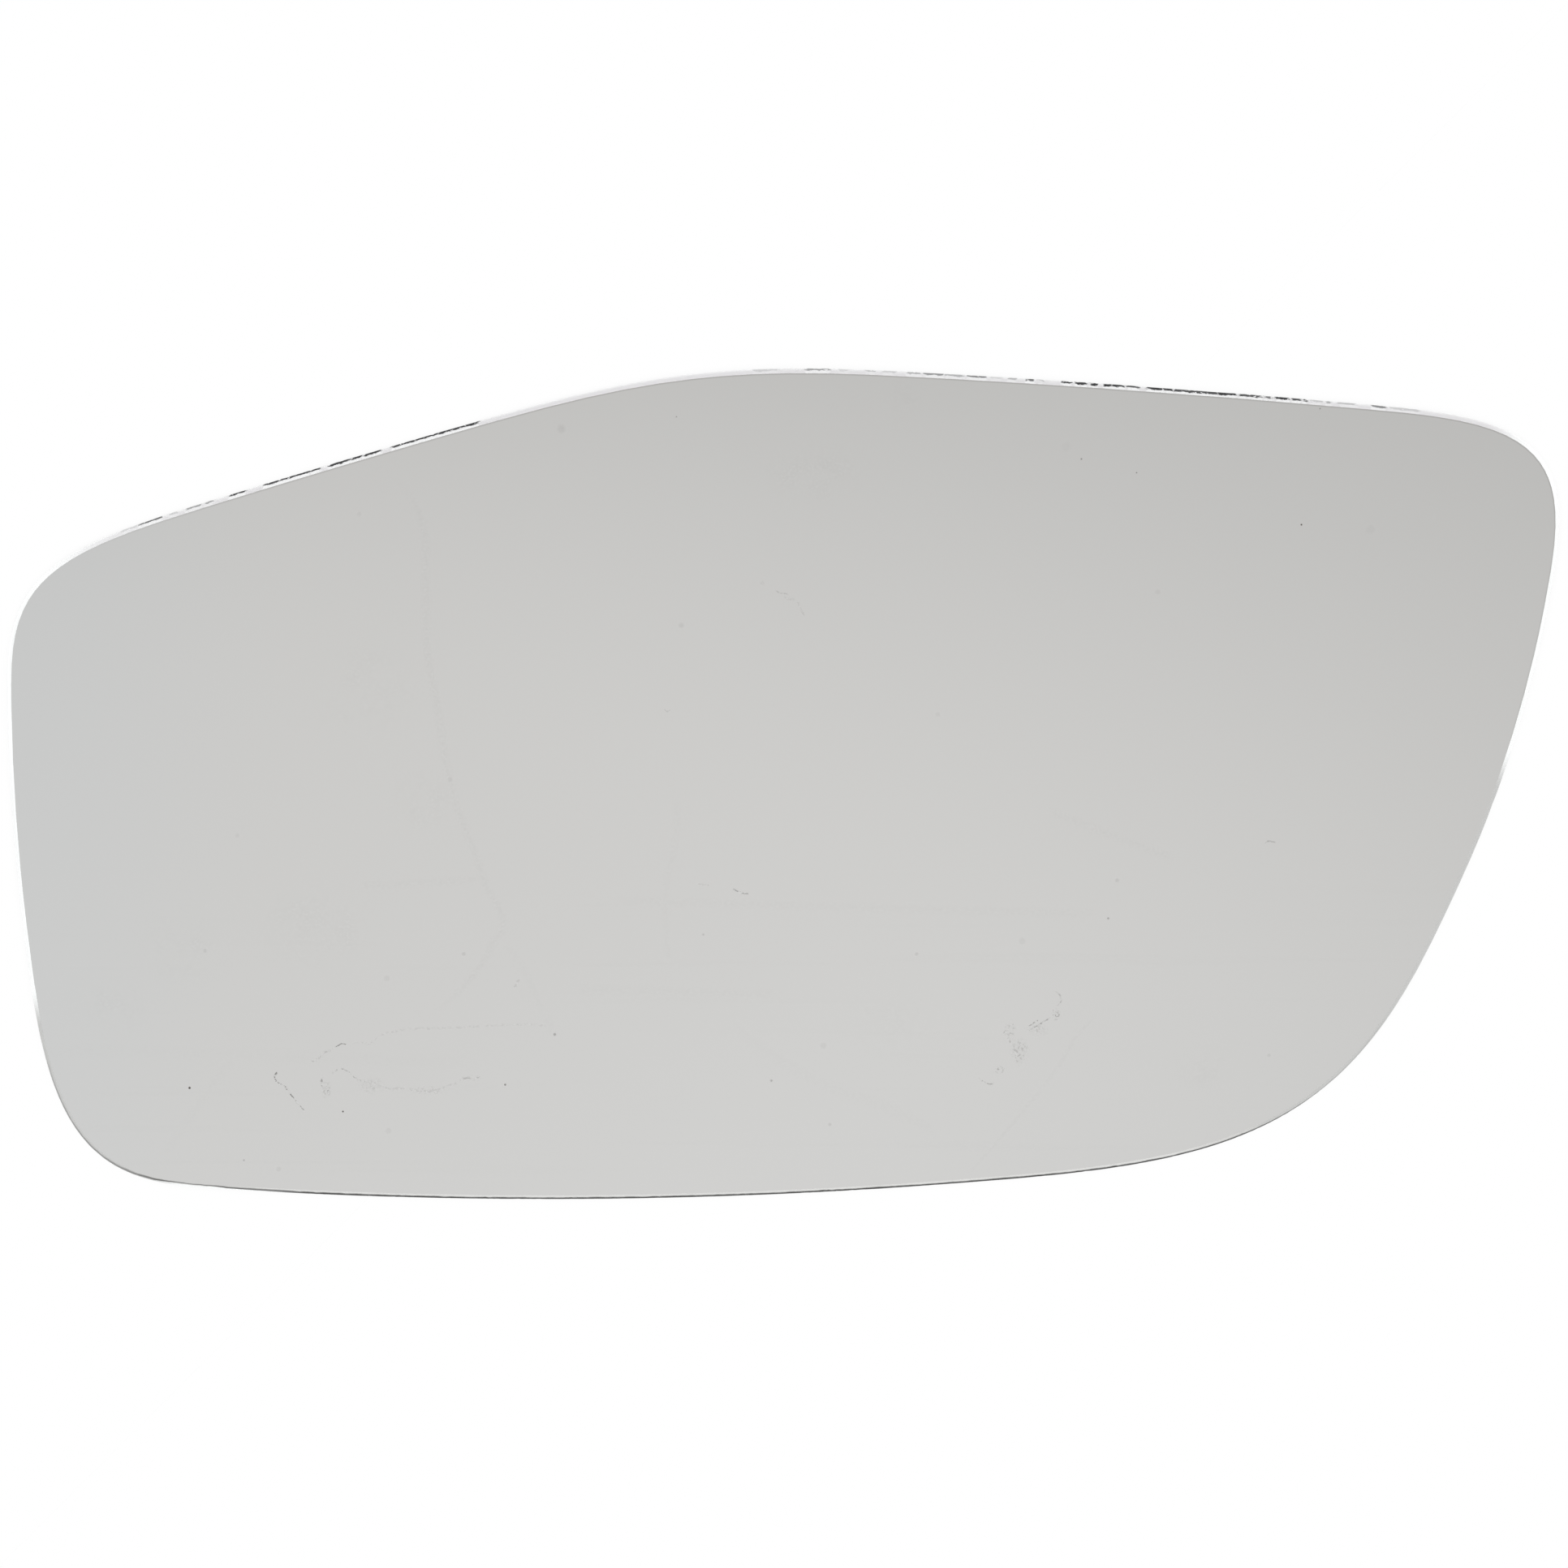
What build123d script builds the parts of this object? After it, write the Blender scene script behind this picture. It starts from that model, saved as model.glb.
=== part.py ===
from build123d import *

import os
from math import sqrt
from typing import NamedTuple

# Mirror glass for a car's door mirror: one flat sheet of silvered glass, lying on its painted back
# with the mirror face up. Five gently bowed sides meet in smooth corner blends, and the edge is
# ground to a shallow round all the way along. The origin is under the middle of the glass, on the
# plane of the back face; +X runs towards the inner end and +Y towards the top edge. Millimetres.

# The sheet and its ground edge
glass_thickness = 2.0
edge_depth = 0.55  # how far the ground edge bulges out past the borders of the two faces
edge_sections = 6  # heights at which the edge's round is drawn; an even count, none at mid-thickness

# Sharp corners, where neighbouring sides would meet if nothing were blended
bottom_left_x = -85.9
bottom_left_y = -47.4
bottom_right_x = 61.7
bottom_right_y = -43.6
top_right_x = 94.0
top_right_y = 43.4
crown_x = -10.8
crown_y = 50.8
top_left_x = -92.5
top_left_y = 26.6

# Outward bow of each side, off the straight line between its two sharp corners
bottom_bow = 4.3
right_bow = 7.7
top_right_slope_bow = 0.9
top_left_slope_bow = 0.6
left_bow = 2.8

# How far each corner's blend reaches along the two sides that it joins
bottom_left_blend_on_left = 31.0
bottom_left_blend_on_bottom = 19.0
bottom_right_blend_on_bottom = 41.0
bottom_right_blend_on_right = 37.0
top_right_blend_on_right = 22.0
top_right_blend_on_slope = 24.0
crown_blend_on_right_slope = 31.0
crown_blend_on_left_slope = 31.0
top_left_blend_on_slope = 25.0
top_left_blend_on_left = 17.0

# Share of its reach over which a blend is drawn on towards the sharp corner before it turns
blend_fullness = 0.85


class Corner(NamedTuple):
    """A sharp corner, with the reach of its blend along the side before it and the side after it."""

    x: float
    y: float
    reach_before: float
    reach_after: float


# Counter-clockwise, looking at the mirror face
bottom_left = Corner(
    bottom_left_x, bottom_left_y, bottom_left_blend_on_left, bottom_left_blend_on_bottom
)
bottom_right = Corner(
    bottom_right_x, bottom_right_y, bottom_right_blend_on_bottom, bottom_right_blend_on_right
)
top_right = Corner(top_right_x, top_right_y, top_right_blend_on_right, top_right_blend_on_slope)
crown = Corner(crown_x, crown_y, crown_blend_on_right_slope, crown_blend_on_left_slope)
top_left = Corner(top_left_x, top_left_y, top_left_blend_on_slope, top_left_blend_on_left)


def bowed_side(start: Corner, end: Corner, bow: float) -> Edge:
    """Shallow arc from one sharp corner to the next, cut back to where their blends begin."""
    whole = SagittaArc((start.x, start.y), (end.x, end.y), -bow, mode=Mode.PRIVATE)
    return whole.trim(start.reach_after / whole.length, 1 - end.reach_before / whole.length)


def corner_blend(before: Edge, corner: Corner, after: Edge) -> Bezier:
    """Smooth turn round a corner, which leaves both sides along their own direction."""
    start = before @ 1
    end = after @ 0
    lead_in = (before % 1) * corner.reach_before * blend_fullness
    lead_out = (after % 0) * corner.reach_after * blend_fullness
    return Bezier(
        start,
        start + lead_in / 2,
        start + lead_in,
        end - lead_out,
        end - lead_out / 2,
        end,
    )


# Radius of the ground edge's round, from its depth over the full thickness
edge_radius = (glass_thickness**2 / 4 + edge_depth**2) / (2 * edge_depth)


def edge_inset(height: float) -> float:
    """How far in from its widest line the ground edge lies, at a height above the back face."""
    from_middle = height - glass_thickness / 2
    return edge_radius - sqrt(edge_radius**2 - from_middle**2)


# Outline at the widest line of the edge
with BuildLine() as outline:
    bottom = add(bowed_side(bottom_left, bottom_right, bottom_bow)).edge()
    right = add(bowed_side(bottom_right, top_right, right_bow)).edge()
    top_right_slope = add(bowed_side(top_right, crown, top_right_slope_bow)).edge()
    top_left_slope = add(bowed_side(crown, top_left, top_left_slope_bow)).edge()
    left = add(bowed_side(top_left, bottom_left, left_bow)).edge()
    corner_blend(bottom, bottom_right, right)
    corner_blend(right, top_right, top_right_slope)
    corner_blend(top_right_slope, crown, top_left_slope)
    corner_blend(top_left_slope, top_left, left)
    corner_blend(left, bottom_left, bottom)

# Glass sheet, built up through its thickness so that the edge is round
with BuildPart() as mirror_glass:
    for section in range(edge_sections):
        height = glass_thickness * section / (edge_sections - 1)
        with BuildSketch(Plane.XY.offset(height)):
            add(outline.edges())
            make_face()
            offset(amount=-edge_inset(height))
    loft()

mirror_glass.part.label = "mirror_glass"
os.makedirs("parts", exist_ok=True)
export_step(mirror_glass.part, "parts/mirror_glass.step")
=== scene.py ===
"""Mirror glass for a car's door mirror, lying on its painted back, mirror face up, in a white studio."""

import logging
import math
from dataclasses import dataclass
from enum import IntEnum
from functools import cache, reduce

import bpy
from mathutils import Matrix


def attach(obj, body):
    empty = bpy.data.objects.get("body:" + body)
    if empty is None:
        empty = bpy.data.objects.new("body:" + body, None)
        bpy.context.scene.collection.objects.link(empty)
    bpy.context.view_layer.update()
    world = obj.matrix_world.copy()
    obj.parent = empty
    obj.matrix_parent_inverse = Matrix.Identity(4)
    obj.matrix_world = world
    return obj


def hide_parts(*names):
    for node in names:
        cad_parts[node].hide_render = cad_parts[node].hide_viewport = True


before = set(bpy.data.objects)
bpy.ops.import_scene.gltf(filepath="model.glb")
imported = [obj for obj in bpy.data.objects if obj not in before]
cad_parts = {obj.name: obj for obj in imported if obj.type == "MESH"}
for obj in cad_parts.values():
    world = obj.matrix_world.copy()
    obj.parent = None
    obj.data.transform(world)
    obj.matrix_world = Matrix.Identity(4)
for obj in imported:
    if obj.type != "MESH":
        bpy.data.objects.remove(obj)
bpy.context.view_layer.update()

log = logging.getLogger("mirror_glass")

MILLIMETRE = 0.001
WHITE = (1.0, 1.0, 1.0, 1.0)
ORIGIN = (0.0, 0.0, 0.0)
NOISE_MIDDLE = 0.5  # what the values of a noise lie about
TRAIL_END = 0.08  # share of a trail over which each of its ends fades
CRUST_CORE = 0.15  # share of a patch of crust, from its middle, that is full
BORDER = "border"  # attribute of the sheet's points: 1 on the outer lines of its two faces

Colour = tuple[float, float, float, float]
Triple = tuple[float, float, float]
Point = tuple[float, float]
Course = tuple[Point, ...]
Tree = bpy.types.NodeTree
Socket = bpy.types.NodeSocket
Feed = Socket | float | tuple[float, ...]


class Zone(IntEnum):
    """The three finishes of the sheet, in the order of its material slots."""

    FACE = 0
    EDGE = 1
    BACK = 2


class Axis(IntEnum):
    """The direction in which a trail on the mirror face is followed, by its place in a point."""

    X = 0
    Y = 1


@dataclass(frozen=True)
class Grain:
    """An uneven pattern of noise.

    Its cells are counted per millimetre, alike all ways or along X, Y and Z. As a mask it goes from none to
    full over a span of its values.
    """

    cells: float | Triple
    span: Point = (0.0, 1.0)
    layers: float = 2.0
    fineness: float = 0.5


@dataclass(frozen=True)
class Speck:
    """A fleck on the mirror face; millimetres."""

    x: float
    y: float
    radius: float
    strength: float
    core: float = 0.3


@dataclass(frozen=True)
class Trail:
    """A line that a drop, a scratch or a wipe left on the mirror face; millimetres."""

    along: Axis
    points: Course
    width: float
    strength: float
    breaks: float = 0.4


@dataclass(frozen=True)
class Crust:
    """A patch of dried crust or of haze on the mirror face; millimetres."""

    x: float
    y: float
    across: float
    up: float
    haze: float
    strength: float


@dataclass(frozen=True)
class ShadeStretch:
    """A stretch of painted dark shade along the upper edge, between two places along X; millimetres."""

    start: float
    end: float
    strength: float = 1.0


class Wiring:
    """Adds nodes to one node tree and joins their sockets."""

    def __init__(self, tree: Tree) -> None:
        """Start on a tree."""
        self.tree = tree

    def add(self, kind: str, *terms: Feed, **settings: object) -> bpy.types.Node:
        """Add a node.

        Args:
            kind: the node's type name.
            terms: what its first inputs are fed with, in order.
            settings: properties to set on it.

        Returns:
            The new node.
        """
        node = self.tree.nodes.new(kind)
        for name, value in settings.items():
            setattr(node, name, value)
        for socket, term in zip(node.inputs, terms):
            self.feed(socket, term)
        return node

    def feed(self, socket: Socket, value: Feed) -> None:
        """Join a socket to another one, or set its value.

        Args:
            socket: the input to feed.
            value: an output socket, a number or a tuple.
        """
        if isinstance(value, bpy.types.NodeSocket):
            self.tree.links.new(value, socket)
        else:
            socket.default_value = value

    def fill(self, node: bpy.types.Node, **inputs: Feed) -> Socket:
        """Feed a node's inputs by name.

        Args:
            node: the node.
            inputs: what each named input is fed with.

        Returns:
            The node's first output.
        """
        for name, value in inputs.items():
            self.feed(node.inputs[name], value)
        return node.outputs[0]

    def math(self, operation: str, *terms: Feed) -> Socket:
        """Return what an operation makes of numbers."""
        return self.add("ShaderNodeMath", *terms, operation=operation).outputs[0]

    def combine(self, operation: str, *masks: Socket) -> Socket:
        """Return what an operation on two numbers makes of any count of masks."""
        return reduce(lambda total, mask: self.math(operation, total, mask), masks)

    def vector(self, operation: str, *terms: Feed) -> Socket:
        """Return what an operation makes of vectors."""
        return self.add("ShaderNodeVectorMath", *terms, operation=operation).outputs[0]

    def distance(self, first: Feed, second: Feed) -> Socket:
        """Return how far two points lie apart."""
        return self.add("ShaderNodeVectorMath", first, second, operation="DISTANCE").outputs["Value"]

    def split(self, vector: Feed) -> tuple[Socket, ...]:
        """Return a vector's three parts."""
        return tuple(self.add("ShaderNodeSeparateXYZ", vector).outputs)

    def fade(self, value: Feed, low: Feed, high: Feed, at_low: Feed = 0.0, at_high: Feed = 1.0) -> Socket:
        """Turn a range of a value smoothly into another.

        Args:
            value: what is turned.
            low: where the range begins.
            high: where it ends.
            at_low: the result up to its beginning.
            at_high: the result past its end.

        Returns:
            The result's socket.
        """
        terms = (value, low, high, at_low, at_high)
        return self.add("ShaderNodeMapRange", *terms, interpolation_type="SMOOTHSTEP").outputs["Result"]

    def blend(self, share: Feed, under: Feed, over: Feed) -> Socket:
        """Lay one colour over another.

        Args:
            share: how much of the upper colour shows.
            under: the lower colour.
            over: the upper colour.

        Returns:
            The blended colour's socket.
        """
        node = self.add("ShaderNodeMix", share, data_type="RGBA")
        colours = [socket for socket in node.inputs if socket.type == "RGBA"]
        self.feed(colours[0], under)
        self.feed(colours[1], over)
        return next(socket for socket in node.outputs if socket.type == "RGBA")

    def curve(self, value: Feed, points: Course) -> Socket:
        """Read a course that runs smoothly through points, level before the first and past the last.

        Args:
            value: where the course is read.
            points: pairs of where and how much, in rising order of where.

        Returns:
            The socket of how much the course is there.
        """
        first, last = points[0][0], points[-1][0]
        low = min(point[1] for point in points)
        high = max(point[1] for point in points)
        way = self.add("ShaderNodeMapRange", value, first, last).outputs["Result"]
        node = self.add("ShaderNodeFloatCurve")
        height = self.fill(node, Value=way)
        stops = node.mapping.curves[0].points
        for count, (at, to) in enumerate(points):
            spot = ((at - first) / (last - first), (to - low) / (high - low))
            if 0 < count < len(points) - 1:
                stops.new(*spot)
            else:
                stops[0 if count == 0 else len(stops) - 1].location = spot
        for stop in stops:
            stop.handle_type = "AUTO_CLAMPED"
        node.mapping.update()
        return self.math("MULTIPLY_ADD", height, high - low, low)

    def effect(self, tree: Tree, **inputs: Feed) -> Socket:
        """Place a node group, fed by the names of its inputs, and return its mask."""
        return self.fill(self.add("ShaderNodeGroup", node_tree=tree), **inputs)


class EffectGroup(Wiring):
    """A shader node group with named inputs and outputs."""

    def __init__(self, name: str, vectors: tuple[str, ...], numbers: tuple[str, ...]) -> None:
        """Start the group.

        Args:
            name: its name.
            vectors: the names of its inputs that are vectors.
            numbers: the names of its inputs that are numbers.
        """
        super().__init__(bpy.data.node_groups.new(name, "ShaderNodeTree"))
        for kind, labels in (("NodeSocketVector", vectors), ("NodeSocketFloat", numbers)):
            for label in labels:
                self.tree.interface.new_socket(name=label, in_out="INPUT", socket_type=kind)
        given = self.add("NodeGroupInput").outputs
        self.given = [given[label] for label in (*vectors, *numbers)]

    def finish(self, **results: Socket) -> Tree:
        """Put out the results.

        Args:
            results: what each named output gives.

        Returns:
            The group.
        """
        for label, socket in results.items():
            kind = "NodeSocketVector" if socket.type == "VECTOR" else "NodeSocketFloat"
            self.tree.interface.new_socket(name=label, in_out="OUTPUT", socket_type=kind)
        self.add("NodeGroupOutput", *results.values())
        return self.tree


class Surface(Wiring):
    """A material of the sheet: one shader, fed by patterns that are read at the place in millimetres."""

    def __init__(self, name: str) -> None:
        """Start the material.

        Args:
            name: its name.
        """
        self.material = bpy.data.materials.new(name)
        self.material.use_nodes = True
        super().__init__(self.material.node_tree)
        self.shader = self.tree.nodes["Principled BSDF"]
        coordinates = self.add("ShaderNodeTexCoord").outputs["Object"]
        scaling = self.add("ShaderNodeVectorMath", coordinates, operation="SCALE")
        self.place = self.fill(scaling, Scale=1.0 / MILLIMETRE)

    def grain(self, grain: Grain, place: Socket | None = None) -> bpy.types.NodeOutputs:
        """Place the effect of a grain.

        Args:
            grain: the pattern.
            place: where it is read, unless that is the place on the piece.

        Returns:
            The effect's outputs, by name.
        """
        effect = self.add("ShaderNodeGroup", node_tree=grain_effect())
        self.fill(
            effect,
            Place=self.place if place is None else place,
            Cells=grain.cells if isinstance(grain.cells, tuple) else (grain.cells,) * 3,
            Layers=grain.layers,
            Fineness=grain.fineness,
            Low=grain.span[0],
            High=grain.span[1],
        )
        return effect.outputs

    def cover(self, grain: Grain) -> Socket:
        """Return the mask of a grain."""
        return self.grain(grain)["Mask"]

    def stray(self, grain: Grain, reach: float) -> Socket:
        """Return a number that wanders to both sides of nought, half its reach at most."""
        return self.math("MULTIPLY", self.grain(grain)["Stray"], reach)

    def strays(self, grain: Grain) -> Socket:
        """Return a vector whose parts wander to both sides of nought, a half at most."""
        return self.grain(grain)["Drift"]

    def border(self) -> Socket:
        """Return how near a place is to the border of its face, 1 on the border itself."""
        return self.add("ShaderNodeAttribute", attribute_name=BORDER).outputs["Fac"]

    def bump(self, height: Socket, strength: float, depth: float) -> None:
        """Raise the surface by a pattern, at a strength, as far as a depth in metres."""
        bump = self.fill(self.add("ShaderNodeBump"), Strength=strength, Distance=depth, Height=height)
        self.feed(self.shader.inputs["Normal"], bump)

    def finish(self, colour: Socket, roughness: Socket) -> bpy.types.Material:
        """Feed the shader a colour and a roughness, and return the material."""
        self.fill(self.shader, **{"Base Color": colour, "Roughness": roughness})
        return self.material


@cache
def grain_effect() -> Tree:
    """Build the pattern of a grain: its level, its mask, and how far it strays from its middle.

    Returns:
        The group, the same one each time.
    """
    group = EffectGroup("grain", ("Place", "Cells"), ("Layers", "Fineness", "Low", "High"))
    place, cells, layers, fineness, low, high = group.given
    noise = group.add("ShaderNodeTexNoise")
    spot = group.vector("MULTIPLY", place, cells)
    level = group.fill(noise, Vector=spot, Scale=1.0, Detail=layers, Roughness=fineness)
    return group.finish(
        Level=level,
        Mask=group.fade(level, low, high),
        Stray=group.math("SUBTRACT", level, NOISE_MIDDLE),
        Drift=group.vector("SUBTRACT", noise.outputs["Color"], (NOISE_MIDDLE,) * 3),
    )


def speck_effect() -> Tree:
    """Build the mask of one round fleck, full in its middle and gone at its rim.

    Returns:
        The group.
    """
    group = EffectGroup("speck", ("Place", "Centre"), ("Radius", "Core", "Strength"))
    place, centre, radius, core, strength = group.given
    full = group.math("MULTIPLY", radius, core)
    return group.finish(Mask=group.fade(group.distance(place, centre), full, radius, strength, 0.0))


def trail_effect() -> Tree:
    """Build the mask of one line that follows a course, fades at both ends and breaks up along its way.

    Returns:
        The group.
    """
    names = ("Along", "Across", "Course", "Start", "End", "Width", "Strength", "Patches", "Breaks")
    group = EffectGroup("trail", (), names)
    along, across, course, start, end, width, strength, patches, breaks = group.given
    away = group.math("ABSOLUTE", group.math("SUBTRACT", across, course))
    line = group.fade(away, 0.0, width, strength, 0.0)
    span = group.math("SUBTRACT", end, start)
    way = group.math("DIVIDE", group.math("SUBTRACT", along, start), span)
    opening = group.fade(way, 0.0, TRAIL_END)
    closing = group.fade(way, 1.0 - TRAIL_END, 1.0, 1.0, 0.0)
    gone = group.math("MULTIPLY", breaks, group.math("SUBTRACT", 1.0, patches))
    kept = group.math("SUBTRACT", 1.0, gone)
    return group.finish(Mask=group.combine("MULTIPLY", line, opening, closing, kept))


def crust_effect() -> Tree:
    """Build the mask of one patch of dried crust or of haze: thin, with flecks in it, gone at its rim.

    Returns:
        The group.
    """
    group = EffectGroup("crust", ("Place", "Centre", "Spread"), ("Flecks", "Haze", "Strength"))
    place, centre, spread, flecks, haze, strength = group.given
    share = group.vector("DIVIDE", group.vector("SUBTRACT", place, centre), spread)
    near = group.fade(group.distance(share, ORIGIN), CRUST_CORE, 1.0, 1.0, 0.0)
    cover = group.math("MULTIPLY_ADD", flecks, strength, haze)
    return group.finish(Mask=group.math("MULTIPLY", near, cover))


SPECKS = (
    Speck(-71.39, -36.39, 0.18, 1.0, 0.5),
    Speck(62.04, 31.41, 0.15, 0.95, 0.4),
    Speck(42.31, 37.62, 0.13, 0.65),
    Speck(35.71, 39.26, 0.16, 0.6),
    Speck(64.18, 45.27, 0.14, 0.55),
    Speck(-12.67, 44.3, 0.13, 0.5),
    Speck(-12.12, 19.36, 0.45, 0.105),
    Speck(-9.53, -17.84, 0.22, 0.149),
    Speck(-27.41, -29.91, 0.25, 0.36),
    Speck(-52.94, -39.25, 0.15, 0.9, 0.4),
    Speck(-33.39, -36.0, 0.17, 0.6, 0.4),
    Speck(-26.43, 42.85, 0.72, 0.112),
    Speck(-54.15, -34.55, 0.16, 0.124),
    Speck(-39.88, 0.85, 0.38, 0.081),
    Speck(-65.43, -5.9, 0.38, 0.062),
    Speck(-69.42, -19.8, 0.34, 0.112),
    Speck(-47.59, -23.13, 0.5, 0.068),
    Speck(40.18, -11.28, 0.34, 0.118),
    Speck(70.29, 30.83, 0.75, 0.05),
    Speck(44.9, 23.35, 0.43, 0.074),
    Speck(33.86, 40.72, 0.81, 0.037),
    Speck(39.13, -15.88, 0.2, 0.35),
    Speck(28.8, -18.62, 0.56, 0.062),
    Speck(16.12, -20.19, 0.3, 0.112),
    Speck(-50.62, 32.67, 0.4, 0.062),
    Speck(-64.9, -45.16, 0.15, 0.32),
    Speck(-60.71, -46.24, 0.41, 0.087),
    Speck(-2.4, 24.42, 0.35, 0.062),
    Speck(18.61, 8.65, 0.43, 0.056),
    Speck(-47.48, -41.61, 0.53, 0.068),
    Speck(-38.31, -20.19, 0.33, 0.136),
    Speck(4.91, -31.28, 0.54, 0.068),
    Speck(-1.34, -35.51, 0.22, 0.3),
    Speck(58.53, -32.46, 0.3, 0.093),
    Speck(5.7, -40.82, 0.3, 0.112),
)

DRIED_DROPS = (
    Trail(
        Axis.X,
        ((-56.8, -33.2), (-55.9, -32.9), (-55.1, -32.1), (-54.1, -31.7), (-53.5, -31.25)),
        0.26, 0.2, 1.0,
    ),
    Trail(Axis.X, ((-53.8, -31.5), (-53.45, -31.2), (-52.95, -31.02), (-52.3, -31.25)), 0.1, 0.75, 0.1),
    Trail(
        Axis.X,
        (
            (-52.2, -31.2), (-50.6, -30.9), (-50.0, -31.0), (-48.9, -30.4), (-48.2, -29.9), (-47.0, -29.6),
            (-44.8, -29.3), (-40.0, -29.1), (-35.6, -28.9), (-31.7, -28.7), (-28.5, -28.9), (-27.4, -29.9),
        ),
        0.24, 0.1, 0.8,
    ),
    Trail(
        Axis.X,
        ((-54.0, -34.5), (-53.2, -34.1), (-52.4, -34.3), (-51.6, -35.1), (-50.7, -35.5), (-49.6, -35.6)),
        0.17, 0.3, 1.0,
    ),
    Trail(
        Axis.X,
        (
            (-48.6, -35.9), (-46.9, -36.5), (-45.4, -36.5), (-43.4, -36.8), (-41.5, -36.6), (-40.3, -36.2),
            (-38.7, -35.6),
        ),
        0.3, 0.13, 0.9,
    ),
    Trail(Axis.X, ((-39.0, -35.5), (-38.2, -35.25), (-37.2, -35.2), (-36.4, -35.05)), 0.22, 0.26, 0.8),
    Trail(
        Axis.Y,
        (
            (-60.7, -34.2), (-61.1, -35.2), (-60.5, -35.9), (-59.8, -36.3), (-59.4, -37.0), (-58.8, -37.7),
            (-58.3, -38.4), (-57.5, -39.3),
        ),
        0.2, 0.7, 0.9,
    ),
    Trail(Axis.Y, ((-55.4, -34.9), (-55.5, -36.0), (-54.9, -36.5), (-54.5, -37.3)), 0.24, 0.42, 0.9),
    Trail(Axis.Y, ((32.8, -24.6), (33.4, -25.3), (33.5, -25.7), (33.0, -26.5)), 0.19, 0.24, 0.5),
    Trail(Axis.X, ((29.1, -29.2), (29.6, -28.9), (30.2, -28.5), (30.8, -28.2)), 0.16, 0.4, 0.8),
    Trail(Axis.X, ((29.6, -29.45), (30.4, -28.95), (31.4, -28.35), (32.2, -27.9)), 0.16, 0.42, 0.7),
    Trail(Axis.X, ((26.5, -29.8), (27.1, -29.2), (27.8, -28.6)), 0.16, 0.28, 0.7),
    Trail(Axis.Y, ((26.8, -29.9), (27.3, -30.7), (27.7, -31.4)), 0.2, 0.26, 0.9),
    Trail(Axis.X, ((23.5, -35.1), (24.0, -35.5), (25.0, -35.9), (25.5, -35.7)), 0.17, 0.34, 0.8),
)

CRUSTS = (
    Crust(-54.9, -36.6, 0.8, 1.3, 0.04, 0.22),
    Crust(-49.5, -36.1, 2.0, 1.3, 0.045, 0.1),
    Crust(-42.7, -36.7, 2.9, 0.7, 0.02, 0.12),
    Crust(-37.6, -35.2, 1.7, 0.5, 0.03, 0.1),
    Crust(27.4, -29.4, 0.9, 1.5, 0.02, 0.16),
    Crust(28.5, -31.9, 1.5, 1.9, 0.04, 0.2),
    Crust(28.5, -33.0, 0.7, 1.0, 0.03, 0.16),
    Crust(32.9, -27.5, 0.7, 0.9, 0.03, 0.4),
    Crust(30.7, -29.4, 1.7, 0.9, 0.035, 0.12),
    Crust(26.1, -34.2, 0.9, 0.6, 0.0, 0.28),
)

CLOUDS = (
    Crust(-50.1, 11.8, 9.0, 8.0, 0.0036, 0.0216),
    Crust(-43.0, -1.7, 5.5, 4.5, 0.0054, 0.0288),
    Crust(-56.4, -16.8, 10.0, 7.0, 0.0036, 0.0252),
    Crust(4.2, 37.5, 8.0, 4.5, 0.0054, 0.0324),
    Crust(14.0, 46.0, 3.5, 3.0, 0.0036, 0.0288),
    Crust(50.5, -33.8, 5.0, 4.0, 0.0054, 0.0252),
    Crust(13.0, -28.5, 8.0, 6.0, 0.0018, 0.018),
    Crust(-72.0, -19.5, 7.0, 6.0, 0.0036, 0.0216),
    Crust(-81.0, -26.7, 6.0, 5.0, 0.0036, 0.0216),
)

SCRATCHES = (
    Trail(Axis.X, ((-0.9, 23.5), (0.1, 23.2), (0.8, 23.05)), 0.17, 0.24, 0.6),
    Trail(Axis.X, ((0.1, 22.8), (0.8, 22.5), (1.6, 22.4)), 0.22, 0.1, 0.4),
    Trail(Axis.Y, ((1.8, 22.2), (2.1, 21.5), (2.6, 20.5)), 0.2, 0.13, 0.3),
    Trail(Axis.X, ((-6.0, -12.4), (-4.9, -12.8), (-4.1, -12.95)), 0.15, 0.46, 0.2),
    Trail(Axis.X, ((-10.3, -11.7), (-8.8, -11.9)), 0.17, 0.13, 0.2),
    Trail(Axis.X, ((57.9, -6.85), (58.3, -6.6), (59.2, -6.7)), 0.15, 0.3, 0.2),
    Trail(Axis.X, ((-14.2, 9.35), (-13.8, 9.0), (-13.4, 9.2)), 0.18, 0.15, 0.1),
    Trail(Axis.Y, ((-32.2, -24.2), (-31.7, -23.2)), 0.26, 0.16, 0.1),
)

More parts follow.
